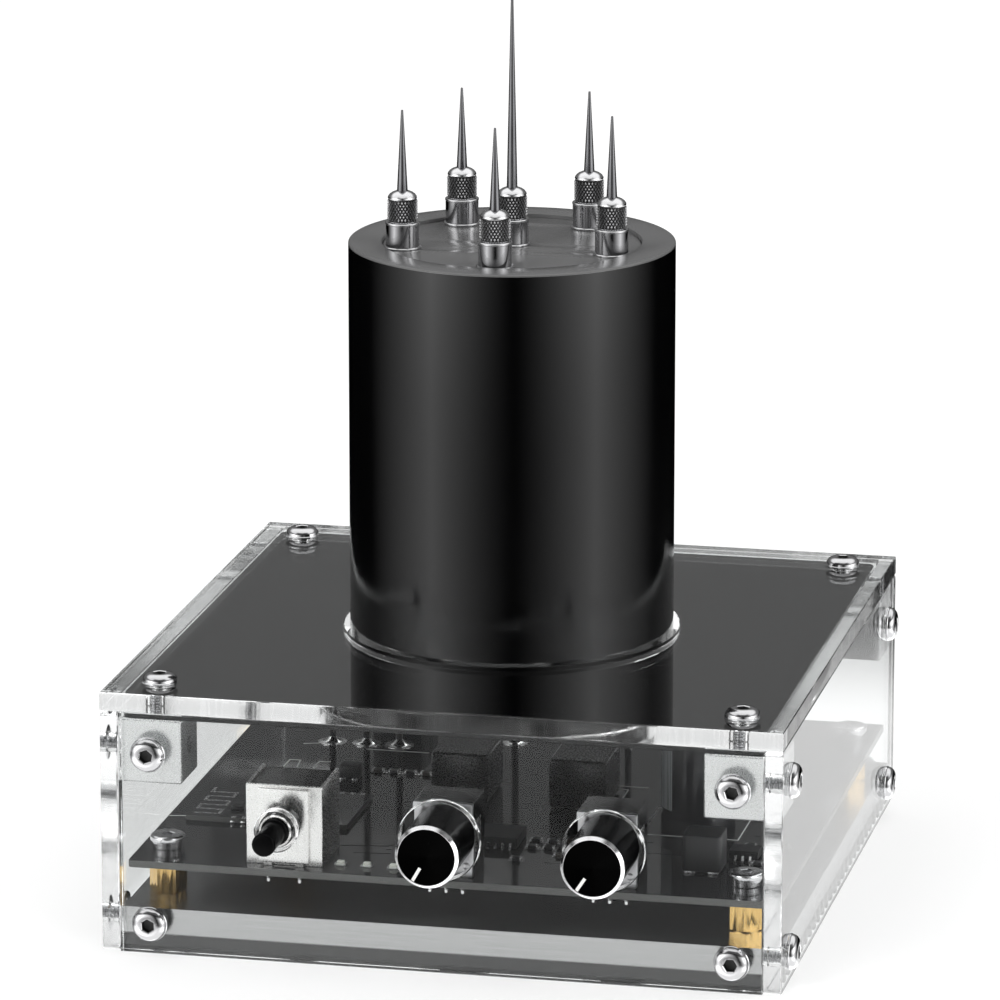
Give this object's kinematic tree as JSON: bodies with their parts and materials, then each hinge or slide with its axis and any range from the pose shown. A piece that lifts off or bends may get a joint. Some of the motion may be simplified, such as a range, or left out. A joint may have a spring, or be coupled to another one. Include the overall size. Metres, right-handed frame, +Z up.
{
  "type": "desktop resonant transformer",
  "caption": "Clear square case with a circuit board and finned base, a round black coil tower on top with upright needle electrodes, and a push switch and two knobs in front.",
  "frame": {"origin": "centre of the case's square footprint, at the underside that it stands on", "axes": "+Z up along the coil tower, -Y out of the front sheet with the controls, +X to the right of someone who faces the controls"},
  "size_m": [0.1194, 0.1265, 0.1561],
  "materials": {
    "acrylic": "clear, polished",
    "deck_black": "smooth",
    "tower_black": "high gloss",
    "base_aluminium": "milled",
    "block_nickel": "satin plated",
    "screw_steel": "polished stainless",
    "inner_steel": "plain",
    "brass": "bright",
    "board_black": "solder mask",
    "module_black": "solder mask",
    "switch_metal": "pressed sheet",
    "housing_black": "moulded",
    "spring_steel": "drawn wire",
    "film_black": "moulded",
    "sleeve_black": "shrink sleeve",
    "ferrite_grey": "sintered",
    "chip_black": "moulded",
    "chip_grey": "ceramic",
    "led_white": "clear resin",
    "lead_black": "sleeved wire",
    "solder": "bright",
    "inlet_black": "moulded",
    "inlet_pin_steel": "plated",
    "coil_base_black": "moulded",
    "former_white": "tube",
    "copper_wire": "enamelled wire",
    "bonding_brass": "sheet",
    "post_nickel": "plated, satin",
    "plunger_black": "moulded",
    "knob_black": "black anodised",
    "shaft_aluminium": "turned",
    "needle_steel": "ground",
    "cap_nickel": "plated"
  },
  "bodies": {
    "case": {"top_sheet": "acrylic", "front_panel": "acrylic", "back_panel": "acrylic", "left_panel": "acrylic", "right_panel": "acrylic", "deck": "deck_black", "tower_shell": "tower_black", "electrode_plate": "tower_black", "heat_sink": "base_aluminium", "corner_blocks": "block_nickel", "top_screws": "screw_steel", "wall_screws": "screw_steel", "board_screws": "inner_steel", "board_washers": "inner_steel", "coil_base_screws": "inner_steel", "post_nuts": "inner_steel", "standoffs": "brass", "secondary_lead": "brass", "circuit_board": "board_black", "radio_module": "module_black", "switch_frame": "switch_metal", "switch_faceplate": "switch_metal", "potentiometer_faces": "switch_metal", "switch_housing": "housing_black", "potentiometer_bodies": "housing_black", "switch_spring": "spring_steel", "film_capacitors": "film_black", "reservoir_capacitor": "sleeve_black", "inductor": "ferrite_grey", "board_chips": "chip_black", "chip_parts": "chip_grey", "indicator_leds": "led_white", "coil_leads": "lead_black", "solder_joints": "solder", "power_inlet": "inlet_black", "inlet_pin": "inlet_pin_steel", "coil_base": "coil_base_black", "primary_former": "former_white", "secondary_former": "former_white", "primary_winding": "copper_wire", "secondary_winding": "copper_wire", "bonding_plate": "bonding_brass", "electrode_posts": "post_nickel"},
    "button": {"switch_plunger": "plunger_black"},
    "left_dial": {"left_knob": "knob_black", "left_shaft": "shaft_aluminium"},
    "right_dial": {"right_knob": "knob_black", "right_shaft": "shaft_aluminium"},
    "needle_0_lift": {"needle_0": "needle_steel"},
    "cap_0_turn": {"knurled_cap_0": "cap_nickel"},
    "needle_1_lift": {"needle_1": "needle_steel"},
    "cap_1_turn": {"knurled_cap_1": "cap_nickel"},
    "needle_2_lift": {"needle_2": "needle_steel"},
    "cap_2_turn": {"knurled_cap_2": "cap_nickel"},
    "needle_3_lift": {"needle_3": "needle_steel"},
    "cap_3_turn": {"knurled_cap_3": "cap_nickel"},
    "needle_4_lift": {"needle_4": "needle_steel"},
    "cap_4_turn": {"knurled_cap_4": "cap_nickel"},
    "needle_5_lift": {"needle_5": "needle_steel"},
    "cap_5_turn": {"knurled_cap_5": "cap_nickel"}
  },
  "joints": [
    {"name": "button_press", "type": "slide", "parent": "case", "child": "button", "axis": [0, 1, 0], "range_m": [0, 0.002], "stiffness_N_per_m": 400, "springref_m": -0.002, "deforming": ["switch_spring"]},
    {"name": "left_dial_turn", "type": "hinge", "parent": "case", "child": "left_dial", "pos_m": [0, -0.058, 0.0228], "axis": [0, 1, 0], "range_deg": [0, 300]},
    {"name": "right_dial_turn", "type": "hinge", "parent": "case", "child": "right_dial", "pos_m": [0.0279, -0.058, 0.0228], "axis": [0, 1, 0], "range_deg": [0, 300]},
    {"name": "needle_0_rise", "type": "slide", "parent": "case", "child": "needle_0_lift", "axis": [0, 0, 1], "range_m": [0, 0.0028]},
    {"name": "cap_0_unscrew", "type": "hinge", "parent": "needle_0_lift", "child": "cap_0_turn", "pos_m": [0, 0, 0.1168], "axis": [0, 0, 1], "range_deg": [0, 1440]},
    {"name": "needle_1_rise", "type": "slide", "parent": "case", "child": "needle_1_lift", "axis": [0, 0, 1], "range_m": [0, 0.0028]},
    {"name": "cap_1_unscrew", "type": "hinge", "parent": "needle_1_lift", "child": "cap_1_turn", "pos_m": [0.00115, -0.01886, 0.1168], "axis": [0, 0, 1], "range_deg": [0, 1440]},
    {"name": "needle_2_rise", "type": "slide", "parent": "case", "child": "needle_2_lift", "axis": [0, 0, 1], "range_m": [0, 0.0028]},
    {"name": "cap_2_unscrew", "type": "hinge", "parent": "needle_2_lift", "child": "cap_2_turn", "pos_m": [0.0183, -0.00473, 0.1168], "axis": [0, 0, 1], "range_deg": [0, 1440]},
    {"name": "needle_3_rise", "type": "slide", "parent": "case", "child": "needle_3_lift", "axis": [0, 0, 1], "range_m": [0, 0.0028]},
    {"name": "cap_3_unscrew", "type": "hinge", "parent": "needle_3_lift", "child": "cap_3_turn", "pos_m": [0.01016, 0.01594, 0.1168], "axis": [0, 0, 1], "range_deg": [0, 1440]},
    {"name": "needle_4_rise", "type": "slide", "parent": "case", "child": "needle_4_lift", "axis": [0, 0, 1], "range_m": [0, 0.0028]},
    {"name": "cap_4_unscrew", "type": "hinge", "parent": "needle_4_lift", "child": "cap_4_turn", "pos_m": [-0.01202, 0.01458, 0.1168], "axis": [0, 0, 1], "range_deg": [0, 1440]},
    {"name": "needle_5_rise", "type": "slide", "parent": "case", "child": "needle_5_lift", "axis": [0, 0, 1], "range_m": [0, 0.0028]},
    {"name": "cap_5_unscrew", "type": "hinge", "parent": "needle_5_lift", "child": "cap_5_turn", "pos_m": [-0.01758, -0.00693, 0.1168], "axis": [0, 0, 1], "range_deg": [0, 1440]}
  ],
  "couplings": [
    {"joint": "cap_0_unscrew", "follows": "needle_0_rise", "rad_per_m": 8976},
    {"joint": "cap_1_unscrew", "follows": "needle_1_rise", "rad_per_m": 8976},
    {"joint": "cap_2_unscrew", "follows": "needle_2_rise", "rad_per_m": 8976},
    {"joint": "cap_3_unscrew", "follows": "needle_3_rise", "rad_per_m": 8976},
    {"joint": "cap_4_unscrew", "follows": "needle_4_rise", "rad_per_m": 8976},
    {"joint": "cap_5_unscrew", "follows": "needle_5_rise", "rad_per_m": 8976}
  ]
}
